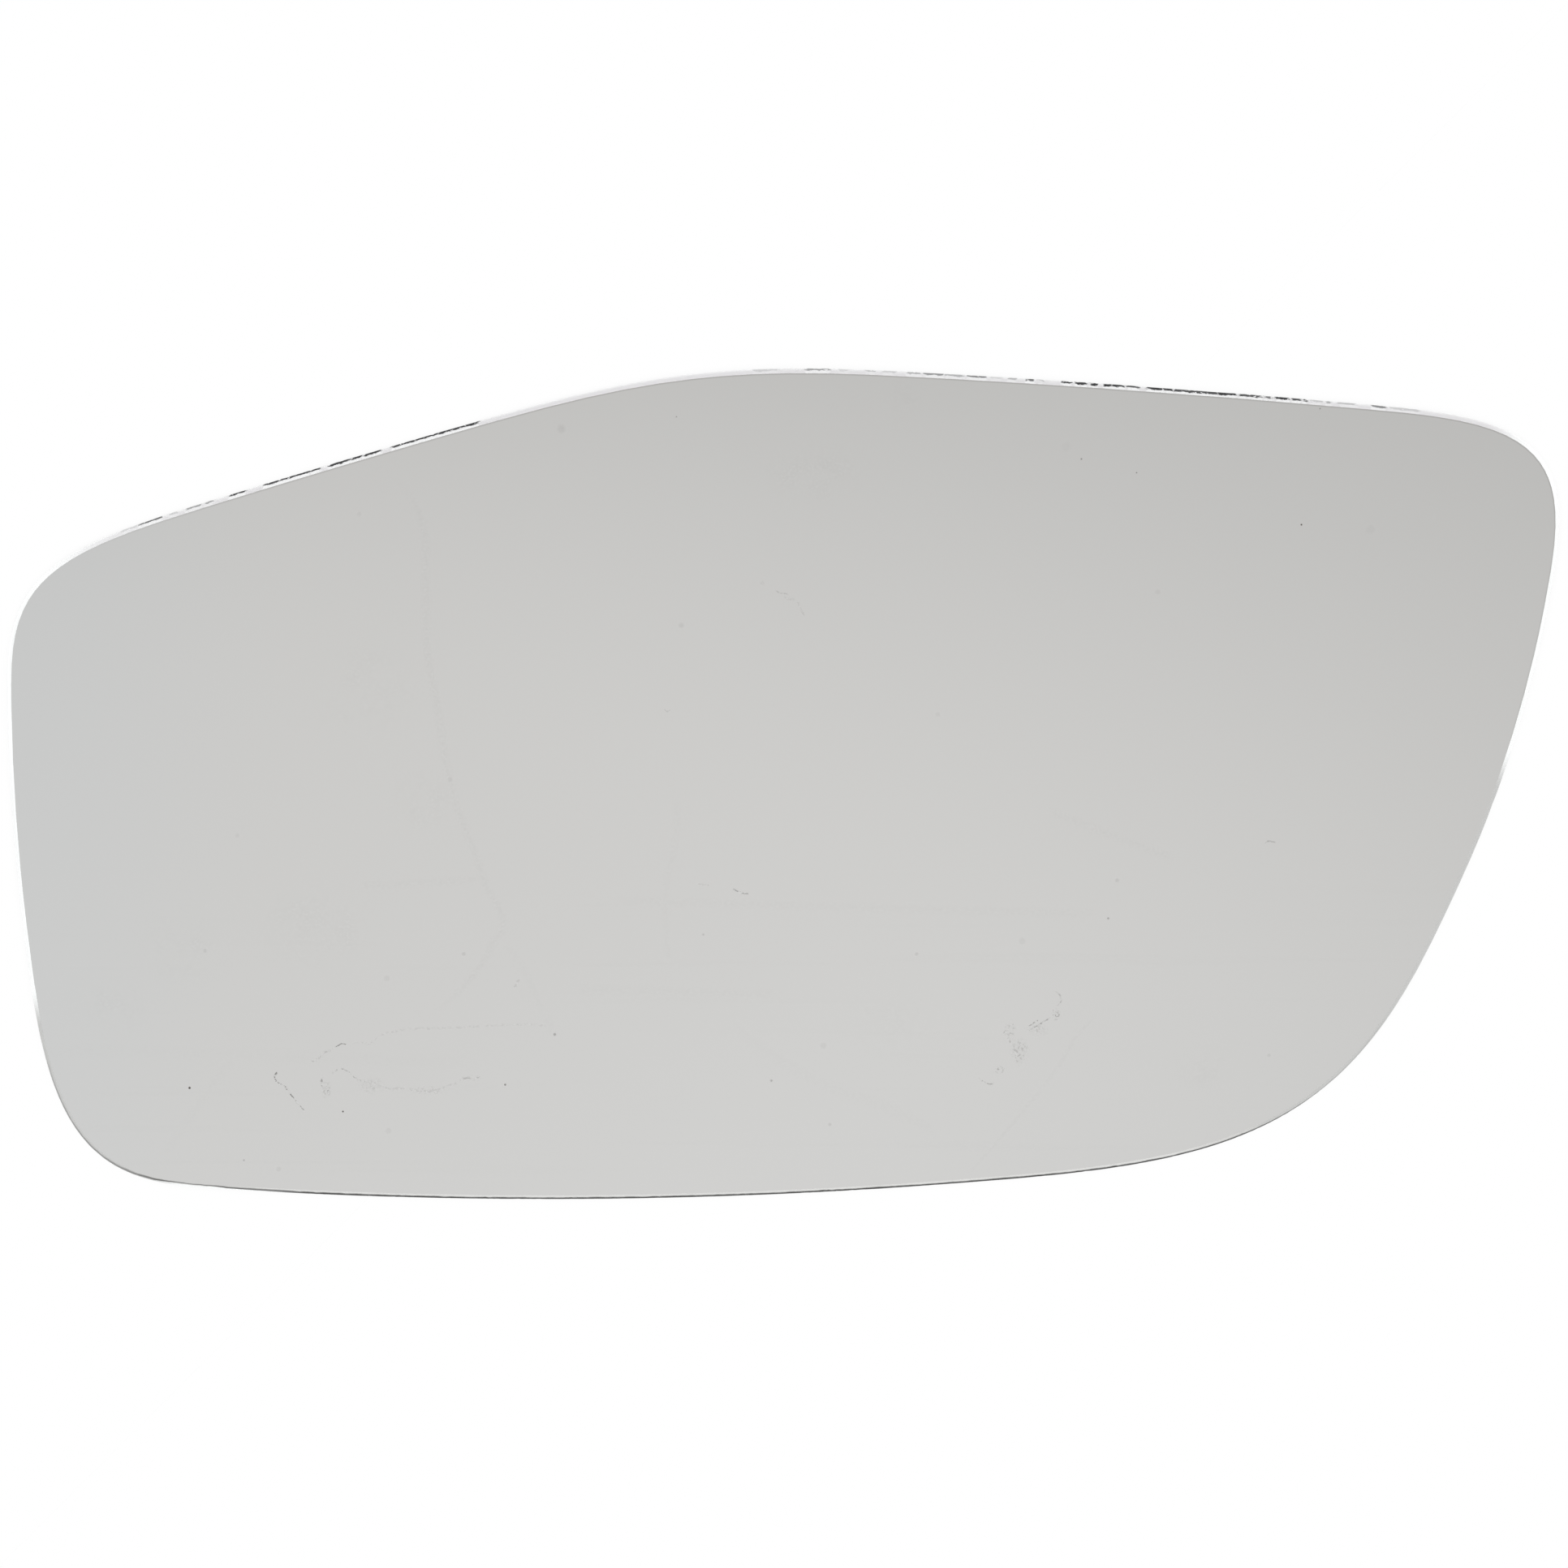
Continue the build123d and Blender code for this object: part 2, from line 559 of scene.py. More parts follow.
WIPES = (
    Trail(
        Axis.Y,
        (
            (-47.5, 37.9), (-45.0, 35.5), (-43.9, 33.5), (-43.1, 31.5), (-42.7, 29.0), (-42.7, 18.0),
            (-42.1, 13.5), (-41.2, 8.5), (-40.5, 3.5), (-39.6, -0.5), (-38.3, -4.5), (-36.8, -8.5),
            (-35.4, -12.5), (-34.2, -14.5), (-33.6, -16.5), (-34.6, -18.5), (-35.6, -20.5), (-37.0, -22.5),
            (-38.7, -24.5), (-40.8, -26.5), (-43.5, -28.5),
        ),
        0.9, 0.033,
    ),
    Trail(
        Axis.Y,
        ((-33.4, -18.7), (-31.2, -22.1), (-29.8, -25.0), (-28.3, -28.0), (-27.4, -30.2)),
        0.95, 0.015,
    ),
    Trail(Axis.Y, ((-13.0, -1.1), (-12.7, -4.0), (-14.0, -12.8), (-14.0, -17.7), (-13.2, -21.6)), 0.8, 0.018),
    Trail(Axis.Y, ((37.7, -27.5), (35.2, -30.4), (32.8, -34.4), (28.9, -39.3), (22.1, -47.2)), 0.55, 0.024),
    Trail(Axis.X, ((-21.9, -13.7), (13.2, -14.7), (39.6, -15.4)), 0.95, 0.018),
    Trail(Axis.X, ((-51.1, -12.0), (-35.5, -11.1)), 0.85, 0.022),
    Trail(Axis.X, ((-88.3, -31.6), (-74.6, -32.1), (-55.1, -32.7), (-36.6, -33.4)), 1.3, 0.011),
    Trail(Axis.X, ((-25.8, -24.4), (0.6, -25.1)), 1.05, 0.017),
    Trail(Axis.X, ((-6.3, -28.8), (3.5, -35.2), (13.3, -39.1), (19.1, -42.0)), 1.3, 0.015),
    Trail(Axis.X, ((31.7, -2.9), (47.3, -8.8)), 1.0, 0.021),
    Trail(Axis.Y, ((-66.0, -32.4), (-74.7, -44.7)), 1.3, 0.012),
)

# stretches of painted shade: the broken near-black line along the upper edge
TOP_SHADE_STRETCHES = (
    ShadeStretch(-79.1, -77.2, 0.25), ShadeStretch(-77.0, -74.2, 0.85), ShadeStretch(-73.4, -72.4, 0.3),
    ShadeStretch(-71.3, -69.5, 0.6), ShadeStretch(-69.1, -68.0, 0.6), ShadeStretch(-66.2, -64.1),
    ShadeStretch(-62.2, -55.3), ShadeStretch(-54.3, -50.4), ShadeStretch(-50.1, -47.8),
    ShadeStretch(-46.8, -36.3), ShadeStretch(-3.6, -0.4, 0.25), ShadeStretch(2.8, 5.7, 0.62),
    ShadeStretch(6.7, 8.1, 0.2), ShadeStretch(9.9, 11.2, 0.35), ShadeStretch(11.9, 13.4, 0.3),
    ShadeStretch(14.7, 16.6, 0.5), ShadeStretch(16.9, 19.2, 0.7), ShadeStretch(19.4, 21.7, 0.5),
    ShadeStretch(22.0, 24.4, 0.75), ShadeStretch(24.9, 26.2, 0.22), ShadeStretch(26.8, 27.9, 0.45),
    ShadeStretch(29.0, 30.1, 0.85), ShadeStretch(30.6, 31.1, 0.4), ShadeStretch(33.5, 34.5),
    ShadeStretch(34.9, 36.5), ShadeStretch(36.8, 37.7), ShadeStretch(38.4, 40.8),
    ShadeStretch(41.1, 42.5, 0.95), ShadeStretch(43.5, 46.6), ShadeStretch(46.8, 52.0, 0.95),
    ShadeStretch(52.0, 54.1), ShadeStretch(54.4, 57.2, 0.95), ShadeStretch(57.5, 58.5, 0.8),
    ShadeStretch(58.8, 60.6), ShadeStretch(60.9, 61.8, 0.95), ShadeStretch(62.1, 62.6, 0.95),
    ShadeStretch(63.0, 64.4, 0.35), ShadeStretch(65.0, 65.6, 0.55), ShadeStretch(66.4, 68.6, 0.4),
    ShadeStretch(70.3, 72.1, 0.75), ShadeStretch(72.6, 76.0, 0.3),
)


@dataclass(frozen=True)
class MirrorFinish:
    """The silvered face: a bright mirror with dried marks, a little haze and a dull line along its border.

    Places are in millimetres.
    """

    surface: Surface
    reflectance: Colour = (0.617, 0.612, 0.599, 1.0)
    grime_and_shade: Colour = (0.09, 0.08, 0.07, 1.0)
    pale: Colour = (0.8, 0.8, 0.79, 1.0)
    roughness: float = 0.02
    height: float = 2.0
    border_line: Point = (0.2, 0.72)
    border_top: Point = (26.0, 36.0)
    border_top_share: float = 0.19
    border_right: Point = (80.0, 86.0)
    border_right_above: Point = (3.0, 10.0)
    border_right_share: float = 0.1
    wander: float = 0.3
    wander_grain: Grain = Grain(1.6)
    crust_grain: Grain = Grain(2.6, (0.47, 0.55))
    fleck_grain: Grain = Grain(3.0, (0.52, 0.59))
    pale_grain: Grain = Grain(3.4, (0.55, 0.61))
    cloud_grain: Grain = Grain(0.32, (0.36, 0.72), 5.0, 0.6)
    smear_grain: Grain = Grain((0.015, 0.45, 1.0), (0.55, 0.75), 3.0)
    smear_below: Point = (0.0, -25.0)
    smear_cover: float = 0.012

    def build(self) -> bpy.types.Material:
        """Build the material.

        Returns:
            The material for the mirror face.
        """
        surface = self.surface
        patch = crust_effect()
        drops = surface.math("MAXIMUM", self._patches(patch, CRUSTS, self.fleck_grain), self._trails())
        haze = surface.math("ADD", self._patches(patch, CLOUDS, self.cloud_grain), self._smears())
        crust = surface.math("MAXIMUM", drops, haze)
        specks = self._specks()
        colour = surface.blend(self._border(), self.reflectance, self.grime_and_shade)
        dried = surface.blend(surface.cover(self.pale_grain), self.grime_and_shade, self.pale)
        colour = surface.blend(crust, colour, dried)
        colour = surface.blend(specks, colour, self.grime_and_shade)
        marks = surface.math("MAXIMUM", crust, specks)
        surface.fill(surface.shader, Metallic=surface.math("SUBTRACT", 1.0, marks))
        return surface.finish(colour, surface.math("ADD", marks, self.roughness))

    def _border(self) -> Socket:
        """Draw the dull line just inside the face's border.

        Returns:
            The socket of the line's mask.
        """
        surface = self.surface
        along, up, _ = surface.split(surface.place)
        top = surface.fade(up, *self.border_top, 0.0, self.border_top_share)
        right = surface.fade(up, *self.border_right_above, 0.0, self.border_right_share)
        right = surface.math("MULTIPLY", right, surface.fade(along, *self.border_right))
        line = surface.fade(surface.border(), *self.border_line)
        return surface.math("MULTIPLY", line, surface.math("MAXIMUM", top, right))

    def _specks(self) -> Socket:
        """Gather the specks.

        Returns:
            The socket of the specks' mask.
        """
        surface = self.surface
        speck = speck_effect()
        masks = (
            surface.effect(
                speck,
                Place=surface.place,
                Centre=(mark.x, mark.y, self.height),
                Radius=mark.radius,
                Core=mark.core,
                Strength=mark.strength,
            )
            for mark in SPECKS
        )
        return surface.combine("MAXIMUM", *masks)

    def _smears(self) -> Socket:
        """Draw faint, level smears low down on the face.

        Returns:
            The socket of the smears' mask.
        """
        surface = self.surface
        _, up, _ = surface.split(surface.place)
        low = surface.fade(up, *self.smear_below, 0.0, self.smear_cover)
        return surface.math("MULTIPLY", low, surface.cover(self.smear_grain))

    def _patches(self, patch: Tree, marks: tuple[Crust, ...], grain: Grain) -> Socket:
        """Gather patches of crust or haze.

        Args:
            patch: the group for one patch.
            marks: the patches.
            grain: the pattern of the flecks in them.

        Returns:
            The socket of their mask.
        """
        surface = self.surface
        flecks = surface.cover(grain)
        masks = (
            surface.effect(
                patch,
                Place=surface.place,
                Centre=(mark.x, mark.y, self.height),
                Spread=(mark.across, mark.up, 1.0),
                Flecks=flecks,
                Haze=mark.haze,
                Strength=mark.strength,
            )
            for mark in marks
        )
        return surface.combine("MAXIMUM", *masks)

    def _trails(self) -> Socket:
        """Gather the lines that dried drops, scratches and wipes left.

        Returns:
            The socket of their mask.
        """
        surface = self.surface
        strays = surface.strays(self.wander_grain)
        strayed = surface.split(surface.vector("MULTIPLY_ADD", strays, (self.wander,) * 3, surface.place))
        thick = surface.cover(self.crust_grain)
        trail = trail_effect()
        marks = (*DRIED_DROPS, *SCRATCHES, *WIPES)
        return surface.combine("MAXIMUM", *(self._trail(trail, strayed, thick, mark) for mark in marks))

    def _trail(self, trail: Tree, place: tuple[Socket, ...], thick: Socket, mark: Trail) -> Socket:
        """Draw one trail.

        Args:
            trail: the group for one trail.
            place: the parts of the place on the piece, in millimetres.
            thick: where what dried is thick, from 0 to 1.
            mark: the trail.

        Returns:
            The socket of the trail's mask.
        """
        across = 1 - mark.along
        points = tuple(sorted((point[mark.along], point[across]) for point in mark.points))
        return self.surface.effect(
            trail,
            Along=place[mark.along],
            Across=place[across],
            Course=self.surface.curve(place[mark.along], points),
            Start=points[0][0],
            End=points[-1][0],
            Width=mark.width,
            Strength=mark.strength,
            Patches=thick,
            Breaks=mark.breaks,
        )


@dataclass(frozen=True)
class GroundFinish:
    """The ground edge: matt, pale glass, greyer towards the painted back, with dust and painted shade.

    The grey low down is painted shade together with the dark back showing through; painted shade also lies
    on the lower sides, along the bottom and, broken, along the top. Heights are above the back, and each
    course runs along X; millimetres.
    """

    surface: Surface
    glass: Colour = (0.93, 0.94, 0.935, 1.0)
    hollow: Colour = (0.86, 0.87, 0.865, 1.0)
    # greyer low down: painted shade, together with the dark back showing through the glass
    back_tint_and_shade: Colour = (0.33, 0.39, 0.37, 1.0)
    dust: Colour = (0.68, 0.67, 0.68, 1.0)
    # painted shade: a grey band along the bottom, next to the mirror face
    bottom_band_shade: Colour = (0.62, 0.615, 0.6, 1.0)
    # painted shade: a grey band on the lower left and lower right sides of the edge
    side_shade: Colour = (0.5, 0.5, 0.49, 1.0)
    # painted shade: a dark line along the bottom edge
    grime_and_shade: Colour = (0.036, 0.035, 0.033, 1.0)
    # painted shade: a broken, near-black line along the top edge
    top_shade: Colour = (0.012, 0.012, 0.014, 1.0)
    roughness: float = 0.45
    roughness_spread: float = 0.2
    specular: float = 0.3
    grinding_grain: Grain = Grain((0.08, 0.08, 9.0), (0.35, 0.65), 3.0, 0.6)
    grinding_depth: float = 0.02 * MILLIMETRE
    grinding_strength: float = 0.15
    back_tint_and_shade_height: Point = (0.95, 0.2)
    ragged: float = 0.16
    ragged_grain: Grain = Grain(0.8, layers=3.0)
    dust_above: Point = (17.0, 36.0)
    dust_ends: tuple[Point, Point] = ((-90.0, -80.0), (90.0, 84.0))
    dust_height: Point = (0.8, 1.85)
    dust_lost: float = 0.6
    # where the painted shade on the lower sides lies, along X and then up Y, and how high
    side_shade_left: tuple[Point, Point] = ((-72.5, -76.5), (-24.6, -29.0))
    side_shade_right: tuple[Point, Point] = ((44.0, 54.0), (4.6, -0.4))
    side_shade_height: Point = (0.85, 1.0)
    # where the painted shade of the bottom band lies
    bottom_band_shade_below: Point = (-26.0, -28.5)
    bottom_band_shade_height: Point = (1.7, 1.78)
    bottom_band_shade_course: Course = ((-79.0, 0.0), (-73.0, 0.85), (50.0, 0.85), (58.0, 0.0))
    # where the painted dark shade along the bottom edge lies: its top, its foot and its strength along X
    dark_shade_below: Point = (-22.0, -30.0)
    dark_shade_top: Course = (
        (-86.0, 1.72), (-82.0, 1.77), (-79.0, 1.85), (-75.0, 1.93), (-71.0, 1.98), (-67.0, 1.93),
        (-63.0, 1.86), (-58.0, 1.8), (-50.0, 1.78), (-30.0, 1.76), (10.0, 1.77), (43.0, 1.75),
        (51.0, 1.71), (58.0, 1.66), (65.0, 1.62), (71.0, 1.75),
    )
    dark_shade_top_fade: Point = (-0.1, 0.1)
    dark_shade_foot: Course = (
        (-86.0, 0.9), (-82.0, 1.1), (-79.0, 1.42), (-75.0, 1.7), (-71.0, 1.86), (-67.0, 1.7), (-63.0, 1.5),
        (-58.0, 1.2), (-50.0, 0.95), (-30.0, 0.9), (43.0, 0.95), (65.0, 0.9), (71.0, 1.5),
    )
    dark_shade_foot_fade: Point = (-0.04, 0.04)
    dark_shade_share: Course = (
        (-89.0, 0.0), (-86.0, 0.5), (-79.0, 0.6), (-71.0, 0.9), (-63.0, 0.85), (-55.0, 1.0), (51.0, 1.0),
        (58.0, 0.95), (65.0, 0.4), (71.0, 0.15), (76.0, 0.0),
    )
    # where the painted dark shade along the top lies
    top_shade_above: Point = (20.0, 26.0)
    top_shade_foot: Point = (0.98, 1.16)
    top_shade_top: Point = (1.62, 1.74)
    top_shade_rise: Course = (
        (-56.0, -0.01), (-50.0, 0.045), (-46.0, 0.05), (-42.0, 0.0), (-37.0, 0.03), (-30.0, 0.0), (34.0, 0.0),
        (38.0, 0.05), (42.0, 0.02), (46.0, 0.07), (50.0, 0.08), (54.0, 0.05), (60.0, 0.06), (68.0, 0.02),
    )
    top_shade_end: float = 0.2
    top_shade_stray: Triple = (1.5, 1.3, 0.45)
    top_shade_stray_grain: Grain = Grain(1.5, layers=3.0)
    top_shade_grain: Grain = Grain(2.2, (0.3, 0.4))

    def build(self) -> bpy.types.Material:
        """Build the material.

        Returns:
            The material for the ground edge.
        """
        surface = self.surface
        grinding = surface.grain(self.grinding_grain)
        colour = surface.blend(grinding["Mask"], self.hollow, self.glass)
        surface.bump(grinding["Level"], self.grinding_strength, self.grinding_depth)
        surface.shader.inputs["Specular IOR Level"].default_value = self.specular
        roughness = surface.math("MULTIPLY_ADD", grinding["Level"], self.roughness_spread, self.roughness)
        return surface.finish(self._dust_and_painted_shade(colour), roughness)

    def _dust_and_painted_shade(self, colour: Socket) -> Socket:
        """Grey the glass low down, partly as painted shade, and lay dust and painted shade over it.

        Args:
            colour: the clean glass's colour.

        Returns:
            The socket of the colour with dust and painted shade.
        """
        surface = self.surface
        along, up, height = surface.split(surface.place)
        level = surface.math("ADD", height, surface.stray(self.ragged_grain, self.ragged))
        strays = surface.vector("MULTIPLY", surface.strays(self.top_shade_stray_grain), self.top_shade_stray)
        end_stray, foot_stray, top_stray = surface.split(strays)
        bits = self._bits(surface.math("ADD", along, end_stray))
        dust = surface.combine(
            "MULTIPLY",
            surface.fade(up, *self.dust_above),
            surface.fade(level, *self.dust_height),
            surface.math("MULTIPLY_ADD", bits, -self.dust_lost, 1.0),
            *(surface.fade(along, *end) for end in self.dust_ends),
        )
        # painted shade on the lower left and lower right sides
        left, right = (
            surface.math("MULTIPLY", surface.fade(along, *inwards), surface.fade(up, *upwards))
            for inwards, upwards in (self.side_shade_left, self.side_shade_right)
        )
        side_shade = surface.math("MAXIMUM", left, right)
        side_shade = surface.math("MULTIPLY", side_shade, surface.fade(level, *self.side_shade_height))
        # painted shade: the grey band along the bottom, next to the mirror face
        bottom_band_shade = surface.combine(
            "MULTIPLY",
            surface.fade(up, *self.bottom_band_shade_below),
            surface.fade(level, *self.bottom_band_shade_height),
            surface.curve(along, self.bottom_band_shade_course),
        )
        # painted shade: the dark line along the bottom edge
        over_foot = surface.math("SUBTRACT", level, surface.curve(along, self.dark_shade_foot))
        over_top = surface.math("SUBTRACT", level, surface.curve(along, self.dark_shade_top))
        grime_and_shade = surface.combine(
            "MULTIPLY",
            surface.fade(up, *self.dark_shade_below),
            surface.fade(over_foot, *self.dark_shade_foot_fade),
            surface.fade(over_top, *self.dark_shade_top_fade, 1.0, 0.0),
            surface.curve(along, self.dark_shade_share),
        )
        # painted shade: the broken near-black line along the top edge
        top_shade_level = surface.math("ADD", height, top_stray)
        top_shade_level = surface.math("SUBTRACT", top_shade_level, surface.curve(along, self.top_shade_rise))
        top_shade = surface.combine(
            "MULTIPLY",
            surface.fade(up, *self.top_shade_above),
            surface.fade(surface.math("ADD", height, foot_stray), *self.top_shade_foot),
            surface.fade(top_shade_level, *self.top_shade_top, 1.0, 0.0),
            bits,
        )
        for mask, laid_colour in (
            # greyer low down: painted shade, together with the dark back showing through
            (surface.fade(height, *self.back_tint_and_shade_height), self.back_tint_and_shade),
            (dust, self.dust),
            (side_shade, self.side_shade),
            (bottom_band_shade, self.bottom_band_shade),
            (grime_and_shade, self.grime_and_shade),
            (top_shade, self.top_shade),
        ):
            colour = surface.blend(mask, colour, laid_colour)
        return colour

    def _bits(self, along: Socket) -> Socket:
        """Gather the stretches of painted dark shade along the top, with small breaks in them.

        Args:
            along: the place along X, in millimetres.

        Returns:
            The socket of how strong the painted shade is along the edge.
        """
        surface = self.surface
        masks = []
        for mark in TOP_SHADE_STRETCHES:
            middle = (mark.start + mark.end) / 2
            half = (mark.end - mark.start) / 2
            away = surface.math("ABSOLUTE", surface.math("SUBTRACT", along, middle))
            ends = (half - self.top_shade_end, half + self.top_shade_end)
            masks.append(surface.fade(away, *ends, mark.strength, 0.0))
        bits = surface.combine("MAXIMUM", *masks)
        return surface.math("MULTIPLY", bits, surface.cover(self.top_shade_grain))


@dataclass(frozen=True)
class PaintFinish:
    """The painted back: dark grey, half-matt paint with streaks, pimples, rub marks, chips and dust."""

    surface: Surface
    paint: Colour = (0.075, 0.078, 0.082, 1.0)
    thin: Colour = (0.105, 0.108, 0.112, 1.0)
    rubbed: Colour = (0.17, 0.172, 0.175, 1.0)
    bare: Colour = (0.5, 0.52, 0.51, 1.0)
    dust: Colour = (0.34, 0.33, 0.31, 1.0)
    dust_cover: float = 0.3
    dust_clouds: Grain = Grain(0.06, (0.42, 0.68), 3.0)
    dust_grains: Grain = Grain(3.5, (0.5, 0.74))
    roughness: float = 0.42
    roughness_spread: float = 0.2
    streaks: Grain = Grain((0.006, 0.22, 1.0), (0.35, 0.7), 4.0, 0.6)
    rubs: Grain = Grain((0.05, 1.6, 1.0), (0.64, 0.74), 3.0)
    rub_turn: float = 24.0
    rub_cover: float = 0.45
    chips: Grain = Grain(1.4, layers=3.0)
    chip_depth: float = 0.5
    chip_range: Point = (0.86, 0.92)
    pimples: Grain = Grain(1.5)
    pimple_height: float = 0.008 * MILLIMETRE
    pimple_strength: float = 0.5

    def build(self) -> bpy.types.Material:
        """Build the material.

        Returns:
            The material for the back.
        """
        surface = self.surface
        streaks = surface.grain(self.streaks)
        colour = surface.blend(streaks["Mask"], self.paint, self.thin)
        colour = surface.blend(self._rubs(), colour, self.rubbed)
        dust = surface.math("MULTIPLY", surface.cover(self.dust_clouds), surface.cover(self.dust_grains))
        dust = surface.math("MULTIPLY", dust, self.dust_cover)
        colour = surface.blend(dust, colour, self.dust)
        colour = surface.blend(self._chips(), colour, self.bare)
        surface.bump(surface.grain(self.pimples)["Level"], self.pimple_strength, self.pimple_height)
        roughness = surface.math("MULTIPLY_ADD", streaks["Level"], self.roughness_spread, self.roughness)
        return surface.finish(colour, surface.math("ADD", roughness, dust))

    def _rubs(self) -> Socket:
        """Draw faint marks where the paint was rubbed in handling.

        Returns:
            The socket of the marks' mask.
        """
        surface = self.surface
        turning = surface.add("ShaderNodeVectorRotate", surface.place, rotation_type="Z_AXIS")
        turned = surface.fill(turning, Angle=math.radians(self.rub_turn))
        return surface.math("MULTIPLY", surface.grain(self.rubs, turned)["Mask"], self.rub_cover)

    def _chips(self) -> Socket:
        """Chip the paint along its border, where the edge was ground, and return the chips' mask."""
        ragged = self.surface.stray(self.chips, self.chip_depth)
        return self.surface.fade(self.surface.math("ADD", self.surface.border(), ragged), *self.chip_range)


@dataclass
class GlassSheet:
    """The sheet of glass, with its mirror face, ground edge and painted back; metres."""

    node: str = "mirror_glass"
    name: str = "silvered_sheet"
    slot: str = "silvered_glass"
    body: str = "root"
    merge_distance: float = 0.002 * MILLIMETRE
    face_border: float = 0.3 * MILLIMETRE
    back_border: float = 1.2 * MILLIMETRE
    upright: float = 0.999

    def build(self) -> bpy.types.Object:
        """Build and dress the sheet.

        Returns:
            The finished piece.
        """
        sheet = self._copy_solid()
        self._join_flat_faces(sheet)
        self._draw_borders(sheet)
        self._dress(sheet)
        self._smooth(sheet)
        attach(sheet, self.body)
        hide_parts(self.node)
        return sheet

    def _copy_solid(self) -> bpy.types.Object:
        """Copy the solid's mesh into a new piece and merge its loose triangles.

        Returns:
            The new piece.
        """
        sheet = bpy.data.objects.new(self.name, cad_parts[self.node].data.copy())
        sheet.data.name = self.name
        sheet.data.materials.clear()
        bpy.context.scene.collection.objects.link(sheet)
        bpy.ops.object.select_all(action="DESELECT")
        sheet.select_set(True)
        bpy.context.view_layer.objects.active = sheet
        bpy.ops.object.mode_set(mode="EDIT")
        bpy.ops.mesh.select_all(action="SELECT")
        bpy.ops.mesh.remove_doubles(threshold=self.merge_distance)
        bpy.ops.mesh.customdata_custom_splitnormals_clear()
        bpy.ops.object.mode_set(mode="OBJECT")
        return sheet

    def _zone(self, polygon: bpy.types.MeshPolygon) -> Zone:
        """Return the zone that a polygon belongs to, by its normal."""
        tilt = polygon.normal.z
        return Zone.FACE if tilt > self.upright else Zone.BACK if tilt < -self.upright else Zone.EDGE

    def _select_faces(self, sheet: bpy.types.Object, zone: Zone) -> None:
        """Enter edit mode with only one zone's faces selected.

        Args:
            sheet: the piece.
            zone: the zone.
        """
        bpy.context.tool_settings.mesh_select_mode = (False, False, True)
        bpy.ops.object.mode_set(mode="EDIT")
        bpy.ops.mesh.select_all(action="DESELECT")
        bpy.ops.object.mode_set(mode="OBJECT")
        for polygon in sheet.data.polygons:
            polygon.select = self._zone(polygon) is zone
        bpy.ops.object.mode_set(mode="EDIT")

    def _join_flat_faces(self, sheet: bpy.types.Object) -> None:
        """Turn the triangles of the mirror face, and those of the back, into one face each.

        Args:
            sheet: the piece.
        """
        for zone in (Zone.FACE, Zone.BACK):
            self._select_faces(sheet, zone)
            bpy.ops.mesh.dissolve_faces()
            bpy.ops.object.mode_set(mode="OBJECT")

    def _draw_borders(self, sheet: bpy.types.Object) -> None:
        """Set narrow borders off inside the mirror face and the back, and mark their outer lines.

        Args:
            sheet: the piece.
        """
        for zone, width in ((Zone.FACE, self.face_border), (Zone.BACK, self.back_border)):
            self._select_faces(sheet, zone)
            bpy.ops.mesh.inset(thickness=width)
            bpy.ops.object.mode_set(mode="OBJECT")
        corners: dict[Zone, set[int]] = {zone: set() for zone in Zone}
        for polygon in sheet.data.polygons:
            corners[self._zone(polygon)].update(polygon.vertices)
        border = sheet.data.attributes.new(BORDER, "FLOAT", "POINT")
        for corner in (corners[Zone.FACE] | corners[Zone.BACK]) & corners[Zone.EDGE]:
            border.data[corner].value = 1.0

    def _dress(self, sheet: bpy.types.Object) -> None:
        """Give each zone its finish.

        Args:
            sheet: the piece.
        """
        for finish in (
            MirrorFinish(Surface("mirror_face")),
            GroundFinish(Surface("ground_edge")),
            PaintFinish(Surface("back_paint")),
        ):
            sheet.data.materials.append(finish.build())
        for polygon in sheet.data.polygons:
            polygon.material_index = self._zone(polygon)

    def _smooth(self, sheet: bpy.types.Object) -> None:
        """Shade the edge's round smoothly, with crisp borders to both faces.

        Args:
            sheet: the piece.
        """
        zones: dict[tuple[int, int], set[int]] = {}
        for polygon in sheet.data.polygons:
            for key in polygon.edge_keys:
                zones.setdefault(key, set()).add(polygon.material_index)
        bpy.ops.object.shade_smooth()
        for edge in sheet.data.edges:
            edge.use_edge_sharp = len(zones[edge.key]) > 1


